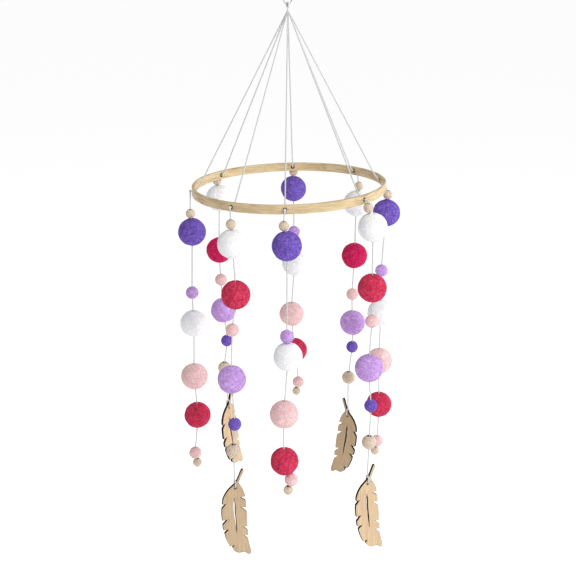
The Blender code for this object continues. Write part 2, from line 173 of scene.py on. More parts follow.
# The feather's outline round from the quill's tip, by its right side: (x, z) from its hole as
# shares of its width and length, and whether the outline runs smoothly through the point.
FEATHER_OUTLINE = (
    (0.283, 0.195, True), (0.301, 0.183, True), (0.231, 0.133, True), (0.173, 0.093, True),
    (0.113, 0.051, False), (0.199, 0.009, True), (0.289, -0.053, True), (0.344, -0.118, False),
    (0.150, -0.120, False), (0.355, -0.163, False), (0.367, -0.247, False), (0.171, -0.231, False),
    (0.382, -0.293, False), (0.396, -0.386, True), (0.393, -0.474, False), (0.231, -0.461, False),
    (0.413, -0.518, False), (0.416, -0.575, False), (0.257, -0.568, False), (0.416, -0.621, False),
    (0.462, -0.702, True), (0.509, -0.777, True), (0.488, -0.802, True), (0.428, -0.805, True),
    (0.347, -0.788, True), (0.269, -0.768, True), (0.191, -0.768, True), (0.092, -0.768, True),
    (-0.029, -0.749, True), (-0.121, -0.714, True), (-0.142, -0.692, False),
    (-0.075, -0.665, False), (-0.243, -0.671, False), (-0.321, -0.612, True),
    (-0.387, -0.542, True), (-0.408, -0.504, False), (-0.254, -0.468, False),
    (-0.448, -0.466, False), (-0.468, -0.404, False), (-0.289, -0.349, False),
    (-0.477, -0.351, False), (-0.491, -0.281, True), (-0.483, -0.214, False),
    (-0.327, -0.163, False), (-0.460, -0.165, False), (-0.439, -0.114, True),
    (-0.376, -0.070, True), (-0.277, -0.025, True), (-0.133, 0.016, True), (0.006, 0.047, False),
    (0.087, 0.093, True), (0.150, 0.135, True), (0.220, 0.181, True), (0.249, 0.193, True),
)
FEATHER_SLIT = (
    (-0.043, -0.123, False), (-0.020, -0.175, True), (-0.017, -0.281, True), (0.012, -0.404, True),
    (0.014, -0.526, False), (-0.029, -0.404, True), (-0.069, -0.281, True), (-0.075, -0.175, True),
)

# How strongly the painted highlights on the fibres and the painted shade in the creases show in felt of
# each colour, and where the finishes differ
FELT_CONTRAST = {
    "purple": 1, "lilac": 0.8, "white": 0.22, "pink": 0.5, "red": 0.9, "crimson": 0.7,
}
CRIMSON_STRANDS = ("back_left", "back_right")
# Painted light: these feathers take a lighter copy of the feather wood, for faces that catch more light.
LIT_FEATHERS = ("front_right", "back_left")

# Camera, and what it looks at
CAMERA_PLACE = (0, -1.107, KNOT_PLACE.z - HOOP_FALL + 0.2455)
CAMERA_LENS = 62.05
CAMERA_PITCH = radians(18.61)
CAMERA_YAW = radians(-0.075)
CAMERA_ROLL = radians(-0.30)
MIDDLE = Vector((0, 0, -0.35))


# ---------------------------------------------------------------- settings


def a_colour(name, description, red, green, blue):
    return FloatVectorProperty(
        name=name, description=description, subtype="COLOR", size=4, min=0, max=1,
        default=(red, green, blue, 1),
    )


def a_length(name, description, default):
    return FloatProperty(name=name, description=description, default=default, min=0, unit="LENGTH")


class CordSettings(PropertyGroup):
    """The cotton cord."""

    plies: IntProperty(name="Plies", description="Yarns twisted into the cord", default=3, min=2)
    lay: a_length("Lay", "Length of cord in which a yarn goes once round", 4.5 * MM)
    step: a_length("Step", "Distance between the rings of a cord's mesh", 0.6 * MM)
    colour: a_colour("Cord", "Colour of the bleached cotton", 0.64, 0.635, 0.63)


class FeltSettings(PropertyGroup):
    """The felted wool balls."""

    purple: a_colour("Purple", "Colour of the purple balls", 0.150, 0.080, 0.450)
    lilac: a_colour("Lilac", "Colour of the lilac balls", 0.540, 0.320, 0.720)
    white: a_colour("White", "Colour of the white balls", 0.860, 0.860, 0.875)
    pink: a_colour("Pink", "Colour of the pink balls", 0.800, 0.525, 0.530)
    red: a_colour("Red", "Colour of the red balls", 0.560, 0.020, 0.075)
    crimson: a_colour("Crimson", "Colour of the bluer red balls at the back", 0.560, 0.003, 0.085)
    lump: a_length("Lumps", "How far a ball is from round", 0.8 * MM)
    mat: a_length("Matting", "Depth of the wrinkles between the matted fibres", 0.7 * MM)
    dimple: a_length("Dimple", "How far the cord draws the felt in where it enters", 1.8 * MM)


class WoodSettings(PropertyGroup):
    """The bent hoop, the turned beads and the cut feathers."""

    hoop_light: a_colour("Hoop, light", "Pale grain of the hoop", 0.610, 0.475, 0.275)
    hoop_dark: a_colour("Hoop, dark", "Dark grain of the hoop", 0.290, 0.195, 0.090)
    bead_light: a_colour("Bead, light", "Pale grain of the beads", 0.660, 0.555, 0.445)
    bead_dark: a_colour("Bead, dark", "Dark grain of the beads", 0.400, 0.305, 0.220)
    ply_light: a_colour("Feather, light", "Pale grain of the feathers", 0.590, 0.450, 0.290)
    ply_dark: a_colour("Feather, dark", "Dark grain of the feathers", 0.370, 0.255, 0.150)
    # The burnt colour also paints the shade in the hoop's holes.
    burnt: a_colour("Burnt edge", "Where the wood is charred", 0.010, 0.007, 0.005)
    bead_bore: a_length("Bead bore", "Width of the hole through a small bead", 3.4 * MM)
    large_bead_bore: a_length("Large bead bore", "Width of the hole through a large bead", 4.6 * MM)
    hoop_bore: a_length("Hoop bore", "Width of the holes burnt through the hoop", 2.6 * MM)
    scorch: a_length("Scorch", "Width of the browned margin beside a cut", 0.8 * MM)


class RingSettings(PropertyGroup):
    """The split ring at the top."""

    wire: a_length("Wire", "Thickness of the ring's wire", 0.9 * MM)
    metal: a_colour("Metal", "Colour of the ring's nickel plating", 0.56, 0.56, 0.58)


class StageSettings(PropertyGroup):
    """The floor and the lights."""

    drop: a_length("Floor drop", "How far the floor lies under the ring", 1.0)
    floor: a_colour("Floor", "Colour of the floor", 0.93, 0.93, 0.93)
    glow: FloatProperty(
        name="Floor glow", description="Light that the floor gives by itself", default=0.45,
    )
    ambient: FloatProperty(
        name="Ambient", description="Strength of the light from all round", default=0.60,
    )
    key: FloatProperty(
        name="Key light", description="Power of the large soft light", default=24, unit="POWER",
    )


class MobileSettings(PropertyGroup):
    """Everything that can be set on the mobile."""

    cord: PointerProperty(type=CordSettings)
    felt: PointerProperty(type=FeltSettings)
    wood: PointerProperty(type=WoodSettings)
    ring: PointerProperty(type=RingSettings)
    stage: PointerProperty(type=StageSettings)


# ---------------------------------------------------------------- finishes


class Wire:
    """An output socket. Arithmetic on it adds the nodes that do it."""

    def __init__(self, finish, socket):
        self.finish = finish
        self.socket = socket

    def reckon(self, operation, *values):
        wires = [value for value in values if isinstance(value, Wire)]
        is_vector = any(wire.socket.type in ("VECTOR", "RGBA") for wire in wires)
        kind = "VectorMath" if is_vector else "Math"
        return self.finish.node(kind, {"operation": operation}, dict(enumerate(values)))

    def __add__(self, other):
        return self.reckon("ADD", self, other)

    def __sub__(self, other):
        return self.reckon("SUBTRACT", self, other)

    def __rsub__(self, other):
        return self.reckon("SUBTRACT", other, self)

    def __mul__(self, other):
        return self.reckon("MULTIPLY", self, other)

    def __truediv__(self, other):
        return self.reckon("DIVIDE", self, other)

    __radd__ = __add__
    __rmul__ = __mul__


class Finish:
    """A material with one Principled shader, and the nodes that feed it."""

    def __init__(self, name, constants):
        self.material = bpy.data.materials.new(name)
        self.material.use_nodes = True
        self.tree = self.material.node_tree
        self.shader = self.tree.nodes["Principled BSDF"]
        for socket, value in constants.items():
            self.plug(self.shader.inputs[socket], value)

    def plug(self, socket, value):
        if isinstance(value, Wire):
            self.tree.links.new(value.socket, socket)
        elif socket.type == "VECTOR" and isinstance(value, (int, float)):
            socket.default_value = (value,) * 3
        else:
            socket.default_value = value

    def node(self, kind, settings=None, sockets=None, output=0):
        made = self.tree.nodes.new("ShaderNode" + kind)
        for name, value in (settings or {}).items():
            if name == "stops":
                self.set_stops(made.color_ramp, value)
            else:
                setattr(made, name, value)
        for name, value in (sockets or {}).items():
            self.plug(made.inputs[name], value)
        return Wire(self, made.outputs[output])

    def set_stops(self, ramp, stops):
        while len(ramp.elements) < len(stops):
            ramp.elements.new(1)
        for element, (position, colour) in zip(ramp.elements, stops):
            element.position = position
            element.color = colour

    def place(self):
        return self.node("TexCoord", output="Object")

    def noise(self, place, scale, detail=2.0, roughness=0.5, distortion=0.0, output=0):
        sockets = {
            "Vector": place, "Scale": scale, "Detail": detail, "Roughness": roughness,
            "Distortion": distortion,
        }
        return self.node("TexNoise", None, sockets, output)

    def between(self, value, low, high):
        """The value as 0 at low, 1 at high, and held there outside them."""
        return self.node("MapRange", None, {0: value, 1: low, 2: high})

    def mix(self, share, first, second):
        return self.node("Mix", {"data_type": "RGBA"}, {0: share, 6: first, 7: second}, 2)

    def bump(self, height, distance, strength=1.0):
        sockets = {"Height": height, "Distance": distance, "Strength": strength}
        self.plug(self.shader.inputs["Normal"], self.node("Bump", None, sockets))

    def colour(self, value):
        self.plug(self.shader.inputs["Base Color"], value)

    def roughness(self, value):
        self.plug(self.shader.inputs["Roughness"], value)


def shade_of(colour, factor):
    """The colour, darker or lighter by the factor."""
    return (*(min(1, part * factor) for part in colour[:3]), 1)


def felt_finish(name, colour, contrast):
    """Wet-felted wool: fibres matted in swirls, with a painted highlight where they stand up and painted
    shade in the creases.
    """
    finish = Finish(name, {
        "Roughness": 0.95, "Specular IOR Level": 0.12, "Sheen Weight": 0.12, "Sheen Roughness": 0.5,
        "Sheen Tint": shade_of(colour, 1.5),
    })
    place = finish.place()
    drift = finish.noise(place, 75, 2, output="Color")
    swirled = place + (drift - 0.5) * 0.02
    fibres = finish.noise(swirled, 290, 5, 0.68, 1.2)
    curls = finish.noise(swirled, 400, 2, 0.5, 2.6)
    patches = finish.noise(place, 80, 2)
    painted_highlight = finish.between(fibres, 0.40, 0.62)
    painted_crease_shade = finish.between(curls, 0.47, 0.34)
    # Painted highlight and shade: paler where the fibres stand up, darker between them.
    body = finish.mix(painted_highlight, shade_of(colour, 1 - 0.36 * contrast), lighter(colour, contrast))
    worn = finish.mix(finish.between(patches, 0.35, 0.7) * 0.35, body, shade_of(colour, 1.1))
    # Painted shade: the creases between the curls are darkened.
    finish.colour(finish.mix(painted_crease_shade * 0.85, worn, shade_of(colour, 1 - 0.6 * contrast)))
    finish.bump(fibres * 0.6 + curls * 0.4, 1.6 * MM, 0.9)
    return finish.material


def lighter(colour, contrast):
    """The colour where light catches the tips of its fibres."""
    return (*(min(1, part * (1 + 0.32 * contrast) + 0.055 * contrast) for part in colour[:3]), 1)


def hoop_finish(light, dark):
    """Bent wood: long grain that follows the hoop round, with pale and brown streaks."""
    finish = Finish("hoop wood", {"Specular IOR Level": 0.4})
    place = finish.place() - tuple(HOOP_MATRIX.translation)
    around = finish.node("VectorMath", {"operation": "MULTIPLY"}, {0: place, 1: (1, 1, 0)})
    parts = finish.node("SeparateXYZ", None, {0: place}).socket.node
    height = Wire(finish, parts.outputs["Z"]) - Wire(finish, parts.outputs["X"]) * HOOP_TILT
    heading = finish.node("VectorMath", {"operation": "NORMALIZE"}, {0: around})
    reach = finish.node("VectorMath", {"operation": "LENGTH"}, {0: around}, "Value")
    layers = finish.node("CombineXYZ", None, {"X": reach * 260, "Y": reach * 90, "Z": height * 420})
    streak_place = heading * 5 + layers
    streaks = finish.noise(streak_place, 1, 5, 0.6, 0.25)
    lines = finish.noise(heading * 9 + layers * 2.6, 1, 3, 0.5)
    tone = finish.noise(heading * 1.4 + layers * 0.12, 1, 2)
    grain = finish.between(streaks * 0.6 + lines * 0.4, 0.36, 0.56)
    wood = finish.mix(grain, dark, light)
    toned = finish.mix(finish.between(tone, 0.35, 0.65) * 0.5, wood, light)
    pores = finish.between(finish.noise(heading * 30 + layers * 5, 1, 2), 0.32, 0.24)
    specks = finish.between(finish.noise(place, 210, 1), 0.25, 0.21)
    pored = finish.mix(pores, toned, shade_of(dark, 0.6))
    finish.colour(finish.mix(specks, pored, shade_of(dark, 0.2)))
    finish.roughness(0.62 - grain * 0.12)
    finish.bump(streaks * 0.5 + lines * 0.5, 0.25 * MM, 0.5)
    return finish.material


def wood_mean(light, dark):
    return tuple((a + b) / 2 for a, b in zip(light, dark))


def bead_finish(light, dark):
    """Turned and unvarnished: growth rings cut across by the round surface, and short pores."""
    finish = Finish("bead wood", {"Specular IOR Level": 0.3})
    place = finish.place()
    bent = place + (finish.noise(place, 120, 1, output="Color") - 0.5) * 0.003
    sockets = {"Vector": bent, "Rotation": (0.5, 0.25, 0), "Scale": (1, 0.12, 0.5)}
    along = finish.node("Mapping", None, sockets)
    rings = finish.noise(along, 780, 3, 0.55)
    pores = finish.noise(along, 2600, 1)
    grain = finish.between(rings, 0.34, 0.62)
    body = finish.mix(grain, shade_of(dark, 1.2), light)
    finish.colour(finish.mix(finish.between(pores, 0.38, 0.28), body, shade_of(dark, 0.8)))
    finish.roughness(0.72 - grain * 0.1)
    finish.bump(rings, 0.15 * MM, 0.4)
    return finish.material


def bore_shade_finish(dark):
    """The rough end grain inside a drilled bead, painted near black as the shade inside the bore."""
    finish = Finish("bead bore", {"Roughness": 0.9, "Specular IOR Level": 0.1})
    rough = finish.noise(finish.place(), 1500, 3, 0.6)
    share = finish.between(rough, 0.35, 0.65)
    # Painted shade: the bore is coloured far darker than the bead's wood, for the shade inside the hole.
    finish.colour(finish.mix(share, shade_of(dark, 0.10), shade_of(dark, 0.28)))
    finish.bump(rough, 0.15 * MM, 0.5)
    return finish.material


def feather_finish(name, light, dark, burnt):
    """Thin sheet cut by laser: straight grain down the feather, brown beside the cuts."""
    finish = Finish(name, {"Specular IOR Level": 0.25})
    place = finish.place()
    scorch = finish.node("Attribute", {"attribute_name": "scorch"}, None, "Fac")
    stretched = finish.node("Mapping", None, {"Vector": place, "Scale": (1, 1, 0.045)})
    streaks = finish.noise(stretched, 620, 5, 0.65, 0.3)
    fine = finish.noise(stretched, 2300, 2)
    tone = finish.noise(place, 22, 2)
    grain = finish.between(streaks * 0.65 + fine * 0.35, 0.36, 0.64)
    face = finish.mix(grain, dark, light)
    toned = finish.mix(finish.between(tone, 0.3, 0.7) * 0.5, face, wood_mean(light, dark))
    smoke = finish.between(scorch + (finish.noise(place, 420, 3) - 0.5) * 0.5, 0.40, 0.95)
    finish.colour(finish.mix(smoke * 0.9, toned, burnt))
    finish.roughness(0.78 - grain * 0.1)
    finish.bump(streaks * 0.6 + fine * 0.4, 0.15 * MM, 0.45)
    return finish.material


def burnt_finish(burnt):
    """The charred wall of a laser cut: near black, with the brown of the sheet's layers. In the hoop's
    holes the same finish is painted shade.
    """
    finish = Finish("charred edge", {"Roughness": 0.85, "Specular IOR Level": 0.2})
    place = finish.place()
    char = finish.noise(place, 900, 4, 0.6)
    finish.colour(finish.mix(finish.between(char, 0.45, 0.8), burnt, (0.055, 0.032, 0.020, 1)))
    finish.bump(char, 0.12 * MM, 0.6)
    return finish.material


def cord_finish(colour):
    """Soft bleached cotton, with painted shade: a little grey in the hollows between its fibres."""
    finish = Finish("cotton cord", {"Roughness": 0.9, "Specular IOR Level": 0.15, "Sheen Weight": 0.3})
    place = finish.place()
    fuzz = finish.noise(place, 2600, 3, 0.6, 0.6)
    # Painted shade: the cotton is darker where the fibre bump sinks.
    finish.colour(finish.mix(finish.between(fuzz, 0.3, 0.6), shade_of(colour, 0.82), colour))
    finish.bump(fuzz, 0.12 * MM, 0.6)
    return finish.material


def metal_finish(colour):
    """Nickel-plated wire with a drawn, slightly scuffed surface."""
    finish = Finish("nickel wire", {"Metallic": 1})
    place = finish.place()
    scuffs = finish.noise(place, 1500, 4, 0.6)
    share = finish.between(scuffs, 0.35, 0.7)
    finish.colour(finish.mix(share, shade_of(colour, 0.8), shade_of(colour, 1.1)))
    finish.roughness(0.22 + scuffs * 0.25)
    finish.bump(scuffs, 0.04 * MM, 0.3)
    return finish.material


def floor_finish(colour, glow):
    finish = Finish("pale floor", {
        "Roughness": 0.85, "Emission Color": colour, "Emission Strength": glow,
    })
    place = finish.place()
    speckle = finish.between(finish.noise(place, 60, 2), 0.2, 0.8)
    finish.colour(finish.mix(speckle, shade_of(colour, 0.99), colour))
    return finish.material


# ---------------------------------------------------------------- tools


def select_only(*objects):
    bpy.ops.object.select_all(action="DESELECT")
    for obj in objects:
        obj.select_set(True)
    bpy.context.view_layer.objects.active = objects[0]


def nothing_selected():
    bpy.ops.object.select_all(action="DESELECT")
    bpy.context.view_layer.objects.active = None


def apply_modifiers(obj):
    select_only(obj)
    for modifier in list(obj.modifiers):
        bpy.ops.object.modifier_apply(modifier=modifier.name)


def settle(obj):
    """Puts the object's place and turn into its mesh."""
    select_only(obj)
    bpy.ops.object.transform_apply(location=True, rotation=True, scale=True)


def cut(obj, tool):
    """Cuts the tool's shape from the object, and removes the tool."""
    modifier = obj.modifiers.new("cut", "BOOLEAN")
    modifier.operation = "DIFFERENCE"
    modifier.solver = "EXACT"
    modifier.object = tool
    apply_modifiers(obj)
    bpy.data.objects.remove(tool)


def dress(obj, name, body, slot, *finishes, stands_for=()):
    """Names a finished piece and ties it to its body, its finish and the solids that it stands for."""
    obj.name = name
    obj.data.name = name
    if not obj.data.materials:
        for finish in finishes:
            obj.data.materials.append(finish)
    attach(obj, body)
    if stands_for:
        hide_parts(*stands_for)
    return obj


def copy_of(pattern):
    """A copy with its own mesh, linked to the scene."""
    made = pattern.copy()
    made.data = pattern.data.copy()
    bpy.context.scene.collection.objects.link(made)
    return made


def close_mesh(obj):
    """Merges the seam and the poles, and turns the faces outwards."""
    select_only(obj)
    bpy.ops.object.mode_set(mode="EDIT")
    bpy.ops.mesh.select_all(action="SELECT")
    bpy.ops.mesh.remove_doubles(threshold=0.005 * MM)
    bpy.ops.mesh.normals_make_consistent(inside=False)
    bpy.ops.object.mode_set(mode="OBJECT")


def direction(angle):
    return Vector((sin(angle), -cos(angle), 0))


def hole_place(angle, radius):
    """A point on the axis of the hoop's hole at this angle."""
    return HOOP_MATRIX @ (direction(angle) * radius + Vector((0, 0, -HOOP_HEIGHT / 2)))


def rounded(route, steps=8):
    """A smooth curve through every point of the route."""
    points = [Vector(point) for point in route]
    ends = [2 * points[0] - points[1], *points, 2 * points[-1] - points[-2]]
    found = [points[0]]
    for a, b, c, d in zip(ends, ends[1:], ends[2:], ends[3:]):
        for step in range(1, steps + 1):
            t = step / steps
            curved = (2 * a - 5 * b + 4 * c - d) * t**2 + (3 * b - 3 * c + d - a) * t**3
            found.append(0.5 * (2 * b + (c - a) * t + curved))
    return found


def evenly(points, step):
    """Points about a step apart along the line."""
    lengths = [(b - a).length for a, b in zip(points, points[1:])]
    count = max(2, round(sum(lengths) / step))
    spacing = sum(lengths) / count
    found, index, gone = [points[0]], 0, 0.0
    for number in range(1, count):
        target = number * spacing
        while gone + lengths[index] < target and index < len(lengths) - 1:
            gone += lengths[index]
            index += 1
        found.append(points[index].lerp(points[index + 1], (target - gone) / lengths[index]))
    return found + [points[-1]]


def length_of(points):
    return sum((b - a).length for a, b in zip(points, points[1:]))


def twisted_cord(name, points, diameter, plies, lay, closed=False):
    """A cord's mesh: rings of points along the line, lobed once for each yarn, each ring turned on."""
    sides = 4 * plies
    count = len(points)
    turn_step = 2 * pi * length_of(points) / lay / count
    if closed:
        turn_step = 2 * pi / plies * round(turn_step * count * plies / (2 * pi)) / count
    axis = (points[1] - points[0]).normalized()
    side = axis.orthogonal().normalized()
    vertices, faces = [], []
    for ring, point in enumerate(points):
        before = points[ring - 1] if ring or closed else point
        after = points[(ring + 1) % count] if ring < count - 1 or closed else point
        axis = (after - before).normalized()
        side = (side - axis * side.dot(axis)).normalized()
        other = axis.cross(side)
        for number in range(sides):
            angle = 2 * pi * number / sides
            reach = diameter / 2 * (1 + 0.13 * cos(plies * angle))
            turned = angle + ring * turn_step
            vertices.append(point + side * (reach * cos(turned)) + other * (reach * sin(turned)))
    for ring in range(count if closed else count - 1):
        low, high = ring * sides, (ring + 1) % count * sides
        for number in range(sides):
            beside = (number + 1) % sides
            faces.append((low + number, low + beside, high + beside, high + number))
    if not closed:
        faces.append(tuple(reversed(range(sides))))
        faces.append(tuple(range((count - 1) * sides, count * sides)))
    mesh = bpy.data.meshes.new(name)
    mesh.from_pydata(vertices, [], faces)
    mesh.shade_smooth()
    made = bpy.data.objects.new(name, mesh)
    bpy.context.scene.collection.objects.link(made)
    return made


def tied_knot(name, place, diameter, cord_width, turn):
    """An overhand knot pulled tight: a trefoil of cord, as wide as the diameter."""
    curve = bpy.data.curves.new(name, "CURVE")
    curve.dimensions = "3D"
    curve.bevel_depth = cord_width / 2
    curve.bevel_resolution = 4
    steps = 60
    middle = (diameter - cord_width) / 2 * 0.66
    wave = middle * 0.5
    spline = curve.splines.new("POLY")
    spline.points.add(steps - 1)
    spline.use_cyclic_u = True
    for number, point in enumerate(spline.points):
        angle = 2 * pi * number / steps
        reach = middle + wave * cos(3 * angle)
        point.co = (reach * cos(2 * angle), reach * sin(2 * angle), wave * 1.3 * sin(3 * angle), 1)
    knot = bpy.data.objects.new(name, curve)
    bpy.context.scene.collection.objects.link(knot)
    select_only(knot)
    bpy.ops.object.convert(target="MESH")
    knot = bpy.context.object
    knot.location = place
    knot.rotation_euler = (pi / 2, 0.4, turn)
    settle(knot)
    knot.data.shade_smooth()
    return knot


# ---------------------------------------------------------------- layout of the strands


def strand_kinds(strand):
    return FEATHER_STRAND if STRANDS[strand][3] else BALL_STRAND


def hangs_beside_hoop(strand):
    """Whether a strand's first bead hangs so high that the hoop holds it off."""
    return STRANDS[strand][1][0] * MM + HOLE_KNOT_D / 2 < HOOP_HEIGHT / 2 + GAP


def strand_axis(strand):
    """The top of the strand's plumb line."""
    angle = radians(STRANDS[strand][0])
    reach = (BEAD_D if hangs_beside_hoop(strand) else HOLE_KNOT_D) / 2
    return direction(angle) * (HOOP_R + GAP + reach) + Vector((0, 0, hole_place(angle, HOOP_R).z))


def threaded_places(strand):
    """The centre of each threaded piece, from the knot down, and the last one's bottom."""
    _, gaps, drifts, _ = STRANDS[strand]
    axis = strand_axis(strand)
    z = axis.z - HOLE_KNOT_D / 2
    places = []
    for (kind, _), gap, drift in zip(strand_kinds(strand), gaps, drifts):
        size = SIZES[kind]
        z -= gap * MM + size / 2
        places.append(Vector((axis.x + drift * MM, axis.y, z)))
        z -= size / 2
    return places, z


def strand_route(strand):
    """The cord from its knot through every threaded piece to its low knot."""
    knot = JOINT_PLACES[f"{strand}_swing"]
    places, end_z = threaded_places(strand)
    route = [knot]
    if hangs_beside_hoop(strand):
        bead_top = places[0] + Vector((0, 0, 0.2 * BEAD_D))
        step = bead_top - knot
        route += [knot + Vector((step.x * a, step.y * a, step.z * d)) for a, d in SIDE_STEP]
        route.append(bead_top)
    if STRANDS[strand][3]:
        hole = JOINT_PLACES[f"{strand}_feather_sway"]
        end = hole + Vector((0, 0, FEATHER_LOOP_RISE + FEATHER_LOOP_R))
    else:
        end = Vector((places[-1].x, places[-1].y, end_z - SMALL_KNOT_D / 4))
    return [*route, *places, end]


def hoop_cord_route(strand):
    angle = radians(STRANDS[strand][0])
    hole = hole_place(angle, HOOP_INNER_R)
    rise = KNOT_PLACE.z - hole.z
    route = [
        direction(angle) * HOOP_INNER_R * across + Vector((0, 0, hole.z + rise * up))
        for across, up in HOOP_CORD_ROUTE
    ]
    route += [
        direction(angle) * (HOOP_INNER_R - short * MM) + Vector((0, 0, hole.z + up * MM))
        for short, up in HOOP_CORD_BEND
    ]
    return route + [direction(angle) * (HOOP_R - GAP) + Vector((0, 0, hole.z))]


# ---------------------------------------------------------------- operators


class MakeRing(Operator):
    """Winds the split ring that the mobile hangs on"""

    bl_idname = "crib_mobile.make_ring"
    bl_label = "Hanging ring"

    def execute(self, context):
        settings = context.scene.crib_mobile.ring
        curve = bpy.data.curves.new("split ring", "CURVE")
        curve.dimensions = "3D"
        curve.bevel_depth = settings.wire / 2
        curve.bevel_resolution = 6
        curve.use_fill_caps = True
        turns, steps = 2, 96
        spline = curve.splines.new("POLY")
        spline.points.add(turns * steps)
        for number, point in enumerate(spline.points):
            share = number / (turns * steps)
            angle = 2 * pi * turns * share + 1.1
            # The wire crosses from one coil to the other in a short step halfway
            crossing = min(1, max(0, (share - 0.44) / 0.12))
            aside = settings.wire * (crossing - 0.5)
            point.co = (RING_R * cos(angle), aside, RING_R * sin(angle), 1)
        ring = bpy.data.objects.new("split ring", curve)
        context.scene.collection.objects.link(ring)
        select_only(ring)
        bpy.ops.object.convert(target="MESH")
        ring = context.object
        ring.location = (0, 0, RING_CENTRE_Z)
        ring.rotation_euler = (0, 0, RING_TURN)
        settle(ring)
        close_mesh(ring)
        ring.data.shade_smooth()
        metal = metal_finish(settings.metal)
        dress(ring, "split_ring", "ring", "ring_metal", metal, stands_for=["hanging_ring"])
        return {"FINISHED"}


class MakeTopLoop(Operator):
    """Loops the cords over the ring and binds them under it"""

    bl_idname = "crib_mobile.make_top_loop"
    bl_label = "Loop over the ring"

    def execute(self, context):
        settings = context.scene.crib_mobile.cord
        white = cord_finish(settings.colour)
        wire_z = JOINT_PLACES["ring_swing"].z
        across = Vector((-sin(RING_TURN), cos(RING_TURN), 0))
        low = wire_z - LOOP_KNOT_Z
        route = [
            across * LOOP_R * cos(pi * step / 12) + Vector((0, 0, wire_z + LOOP_R * sin(pi * step / 12)))
            for step in range(13)
        ]
        for side, shares in ((-1, (0.5, 1)), (1, (1, 0.5))):
            route += [
                across * side * LOOP_R * (1 - 0.6 * share**2) + Vector((0, 0, wire_z - low * share))
                for share in shares
            ]
        line = rounded([*route, route[0]])
        points = evenly(line, 0.2 * MM)[:-1]
        loop = twisted_cord("loop", points, LOOP_BUNDLE_D, 5, 2 * settings.lay, closed=True)
        dress(loop, "ring_loop", "loop", "cotton_cord", white, stands_for=["top_loop"])
        knot = tied_knot("knot", (0, 0, LOOP_KNOT_Z), TIED_KNOT_D, CORD_D, 0.5)
        dress(knot, "ring_loop_knot", "loop", "cotton_cord", white)
        return {"FINISHED"}


class MakeHoopCords(Operator):
    """Runs eight taut cords from their knot to the holes in the hoop"""

    bl_idname = "crib_mobile.make_hoop_cords"
    bl_label = "Hoop cords"

    def execute(self, context):
        settings = context.scene.crib_mobile.cord
        white = bpy.data.materials["cotton cord"]
        for strand in STRANDS:
            points = evenly(rounded(hoop_cord_route(strand)), settings.step)
            cord = twisted_cord("cord", points, CORD_D, settings.plies, settings.lay)
            dress(cord, f"{strand}_hoop_cord", "hoop", "cotton_cord", white, stands_for=["hoop_cords"])
            round(length_of(points), 3)
        knot = tied_knot("knot", KNOT_PLACE, TIED_KNOT_D, CORD_D, 1.7)
        dress(knot, "hoop_cord_knot", "hoop", "cotton_cord", white)
        return {"FINISHED"}


class MakeHoop(Operator):
    """Bends the wooden hoop and drills its eight holes"""

    bl_idname = "crib_mobile.make_hoop"
    bl_label = "Hoop"

    def execute(self, context):
        settings = context.scene.crib_mobile.wood
        nothing_selected()
        bpy.ops.mesh.primitive_cylinder_add(
            vertices=288, radius=HOOP_R, depth=HOOP_HEIGHT, end_fill_type="NOTHING",
            location=(0, 0, -HOOP_HEIGHT / 2),
        )
        hoop = context.object
        settle(hoop)
        wood = hoop_finish(settings.hoop_light, settings.hoop_dark)
        # The second finish paints the shade in the hoop's holes near black.
        char = burnt_finish(settings.burnt)
        for finish in (wood, char):
            hoop.data.materials.append(finish)
        wall = hoop.modifiers.new("wall", "SOLIDIFY")
        wall.thickness = HOOP_WALL
        wall.offset = -1
        edges = hoop.modifiers.new("sanded edges", "BEVEL")
        edges.width = HOOP_EDGE_R
        edges.segments = 4
        edges.limit_method = "ANGLE"
        edges.angle_limit = radians(50)
        apply_modifiers(hoop)
        for angle, *_ in STRANDS.values():
            heading = direction(radians(angle))
            middle = heading * (HOOP_R - HOOP_WALL / 2) + Vector((0, 0, -HOOP_HEIGHT / 2))
            drill = self.drill(context, settings.hoop_bore)
            drill.location = middle
            drill.rotation_euler = heading.to_track_quat("Z", "Y").to_euler()
            cut(hoop, drill)
        hoop.matrix_world = HOOP_MATRIX
        settle(hoop)
        bpy.ops.object.shade_smooth_by_angle(angle=radians(40))
        dress(hoop, "wooden_hoop", "hoop", "bamboo", wood, char, stands_for=["hoop"])
        return {"FINISHED"}

    def drill(self, context, bore):
        """A rod that flares from just inside the hoop's faces, so that it leaves a rim; its faces take
        the near-black finish, painted shade in and round the hole.
        """
        bpy.ops.mesh.primitive_cylinder_add(vertices=32, radius=bore / 2, depth=4 * HOOP_WALL)
        drill = context.object
        bpy.ops.object.mode_set(mode="EDIT")
        bpy.ops.mesh.select_all(action="SELECT")
        for height in (HOOP_WALL / 2 - HOLE_SHADE_DEPTH, HOLE_SHADE_DEPTH - HOOP_WALL / 2):
            bpy.ops.mesh.bisect(plane_co=(0, 0, height), plane_no=(0, 0, 1))
            bpy.ops.mesh.select_all(action="SELECT")
        bpy.ops.object.mode_set(mode="OBJECT")
        for vertex in drill.data.vertices:
            if abs(vertex.co.z) > HOOP_WALL:
                vertex.co.xy *= DRILL_FLARE
        for finish in (bpy.data.materials["hoop wood"], bpy.data.materials["charred edge"]):
            drill.data.materials.append(finish)
        for face in drill.data.polygons:
            face.material_index = 1
        return drill


